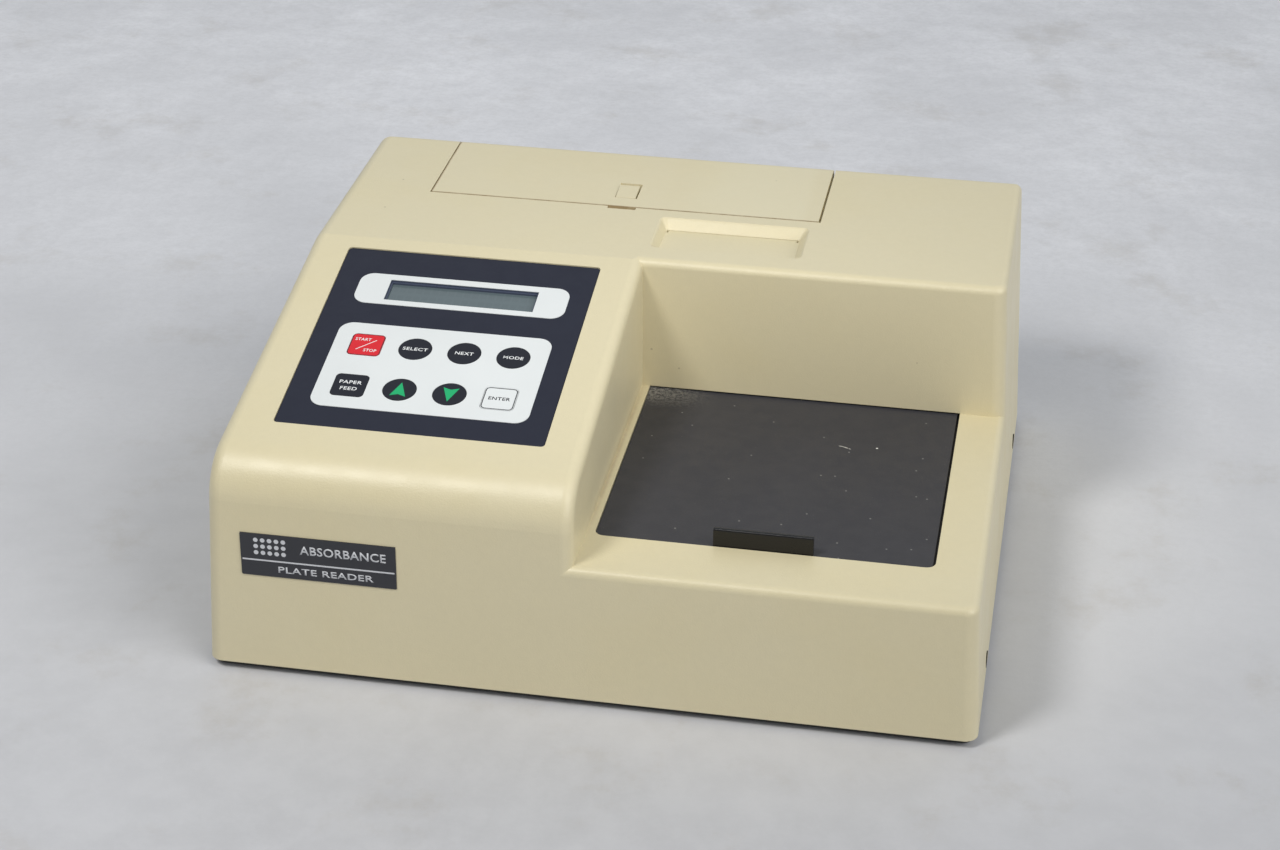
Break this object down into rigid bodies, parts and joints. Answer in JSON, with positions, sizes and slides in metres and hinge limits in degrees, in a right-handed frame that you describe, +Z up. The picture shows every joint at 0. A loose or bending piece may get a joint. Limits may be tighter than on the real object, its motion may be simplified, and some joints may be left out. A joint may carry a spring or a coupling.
{
  "type": "microplate reader",
  "caption": "Benchtop microplate reader with a sliding cover over the plate well, a sloped keypad and display, and a lidded strip printer.",
  "frame": {"origin": "middle of the footprint on the floor, between the rubber feet", "axes": "+X to the user's right along the front, +Y from front to back, +Z up"},
  "size_m": [0.32, 0.276, 0.1284],
  "materials": {
    "housing_plastic": "satin, finely textured",
    "base_plastic": "matte black",
    "foot_rubber": "matte",
    "black_screw": "blackened",
    "panel_aluminium": "satin",
    "label_film": "satin printed film",
    "keypad_film": "satin printed film",
    "white_film": "satin printed film",
    "key_red": "satin film",
    "key_black": "satin film",
    "key_white": "satin film",
    "dome_steel": "bright",
    "circuit_board": "green solder mask",
    "lcd_frame": "black",
    "lcd_glass": "smooth",
    "cover_plastic": "matte dark, fine speckle",
    "grip_plastic": "matte dark",
    "rail_plastic": "smooth white acetal",
    "carriage_alloy": "black anodised",
    "spring_steel": "bright",
    "rod_steel": "ground",
    "bracket_alloy": "satin",
    "nut_plastic": "smooth acetal",
    "motor_steel": "satin black",
    "lens_glass": "polished",
    "fibre_jacket": "black jacket",
    "lamp_housing": "satin",
    "filter_glass": "coated",
    "printer_plastic": "moulded grey",
    "head_metal": "plated",
    "platen_rubber": "ground",
    "paper": "coated paper",
    "transformer_iron": "varnished laminations",
    "connector_plastic": "black",
    "connector_metal": "plated",
    "rocker_plastic": "black",
    "fan_plastic": "black"
  },
  "bodies": {
    "chassis": {"top_housing": "housing_plastic", "nameplate": "label_film", "base_tray": "base_plastic", "feet": "foot_rubber", "side_screws": "black_screw", "rear_panel": "panel_aluminium", "keypad_overlay": "keypad_film", "key_panel": "white_film", "lcd_bezel": "white_film", "key_domes": "dome_steel", "keypad_board": "circuit_board", "lcd_module": "lcd_frame", "lcd_glass": "lcd_glass", "cover_rails": "rail_plastic", "guide_rods": "rod_steel", "rod_brackets": "bracket_alloy", "carriage_motor": "motor_steel", "optics_bridge": "carriage_alloy", "channel_lenses": "lens_glass", "detector_board": "circuit_board", "lamp_house": "lamp_housing", "lamp": "lens_glass", "condenser_lens": "lens_glass", "filter_motor": "motor_steel", "fibre_bundle": "fibre_jacket", "printer_frame": "printer_plastic", "print_head": "head_metal", "printer_motor": "motor_steel", "roll_spindle": "rail_plastic", "tear_bar": "housing_plastic", "lid_hinge_pin": "rod_steel", "main_board": "circuit_board", "transformer": "transformer_iron", "power_inlet": "connector_plastic", "power_switch": "connector_plastic", "data_ports": "connector_metal", "fan_frame": "fan_plastic"},
    "cover": {"slide_cover": "cover_plastic", "cover_grip": "grip_plastic"},
    "carriage": {"plate_carrier": "carriage_alloy", "plate_clamp": "spring_steel", "carriage_nut": "nut_plastic"},
    "screw": {"lead_screw": "rod_steel"},
    "wheel": {"filter_wheel": "carriage_alloy", "filter_glasses": "filter_glass"},
    "platen": {"platen_roller": "platen_rubber"},
    "roll": {"paper_roll": "paper"},
    "lid": {"printer_lid": "housing_plastic"},
    "latch": {"lid_latch": "housing_plastic"},
    "rocker": {"switch_rocker": "rocker_plastic"},
    "impeller": {"fan_impeller": "fan_plastic"},
    "button_start_stop": {"key_start_stop": "key_red"},
    "button_select": {"key_select": "key_black"},
    "button_next": {"key_next": "key_black"},
    "button_mode": {"key_mode": "key_black"},
    "button_paper_feed": {"key_paper_feed": "key_black"},
    "button_up": {"key_up": "key_black"},
    "button_down": {"key_down": "key_black"},
    "button_enter": {"key_enter": "key_white"}
  },
  "joints": [
    {"name": "cover_slide", "type": "slide", "parent": "chassis", "child": "cover", "axis": [0, 1, 0], "range_m": [0, 0.105]},
    {"name": "carriage_travel", "type": "slide", "parent": "chassis", "child": "carriage", "axis": [0, 1, 0], "range_m": [0, 0.136]},
    {"name": "screw_spin", "type": "hinge", "parent": "chassis", "child": "screw", "pos_m": [-0.022, 0, 0.02], "axis": [0, -1, 0], "range_deg": [0, 2450]},
    {"name": "filter_wheel_spin", "type": "hinge", "parent": "chassis", "child": "wheel", "pos_m": [-0.076, 0.092, 0.034], "axis": [1, 0, 0], "continuous": true},
    {"name": "platen_spin", "type": "hinge", "parent": "chassis", "child": "platen", "pos_m": [0.029, 0.068, 0.106], "axis": [1, 0, 0], "continuous": true},
    {"name": "roll_spin", "type": "hinge", "parent": "chassis", "child": "roll", "pos_m": [0.029, 0.102, 0.094], "axis": [1, 0, 0], "continuous": true},
    {"name": "lid_hinge", "type": "hinge", "parent": "chassis", "child": "lid", "pos_m": [-0.0238, 0.1329, 0.112], "axis": [-1, 0, 0], "range_deg": [0, 100]},
    {"name": "latch_slide", "type": "slide", "parent": "lid", "child": "latch", "axis": [0, 1, 0], "range_m": [0, 0.0028], "stiffness_N_per_m": 400, "springref_m": -0.001},
    {"name": "rocker_tilt", "type": "hinge", "parent": "chassis", "child": "rocker", "pos_m": [-0.101, 0.1255, 0.033], "axis": [1, 0, 0], "range_deg": [0, 18]},
    {"name": "fan_spin", "type": "hinge", "parent": "chassis", "child": "impeller", "pos_m": [-0.084, 0.124, 0.08], "axis": [0, 1, 0], "continuous": true},
    {"name": "start_stop_press", "type": "slide", "parent": "chassis", "child": "button_start_stop", "axis": [0, 0.1908, -0.9816], "range_m": [0, 0.0005], "stiffness_N_per_m": 600, "springref_m": -0.0002},
    {"name": "select_press", "type": "slide", "parent": "chassis", "child": "button_select", "axis": [0, 0.1908, -0.9816], "range_m": [0, 0.0005], "stiffness_N_per_m": 600, "springref_m": -0.0002},
    {"name": "next_press", "type": "slide", "parent": "chassis", "child": "button_next", "axis": [0, 0.1908, -0.9816], "range_m": [0, 0.0005], "stiffness_N_per_m": 600, "springref_m": -0.0002},
    {"name": "mode_press", "type": "slide", "parent": "chassis", "child": "button_mode", "axis": [0, 0.1908, -0.9816], "range_m": [0, 0.0005], "stiffness_N_per_m": 600, "springref_m": -0.0002},
    {"name": "paper_feed_press", "type": "slide", "parent": "chassis", "child": "button_paper_feed", "axis": [0, 0.1908, -0.9816], "range_m": [0, 0.0005], "stiffness_N_per_m": 600, "springref_m": -0.0002},
    {"name": "up_press", "type": "slide", "parent": "chassis", "child": "button_up", "axis": [0, 0.1908, -0.9816], "range_m": [0, 0.0005], "stiffness_N_per_m": 600, "springref_m": -0.0002},
    {"name": "down_press", "type": "slide", "parent": "chassis", "child": "button_down", "axis": [0, 0.1908, -0.9816], "range_m": [0, 0.0005], "stiffness_N_per_m": 600, "springref_m": -0.0002},
    {"name": "enter_press", "type": "slide", "parent": "chassis", "child": "button_enter", "axis": [0, 0.1908, -0.9816], "range_m": [0, 0.0005], "stiffness_N_per_m": 600, "springref_m": -0.0002}
  ],
  "couplings": [
    {"joint": "screw_spin", "follows": "carriage_travel", "rad_per_m": 314.16}
  ]
}
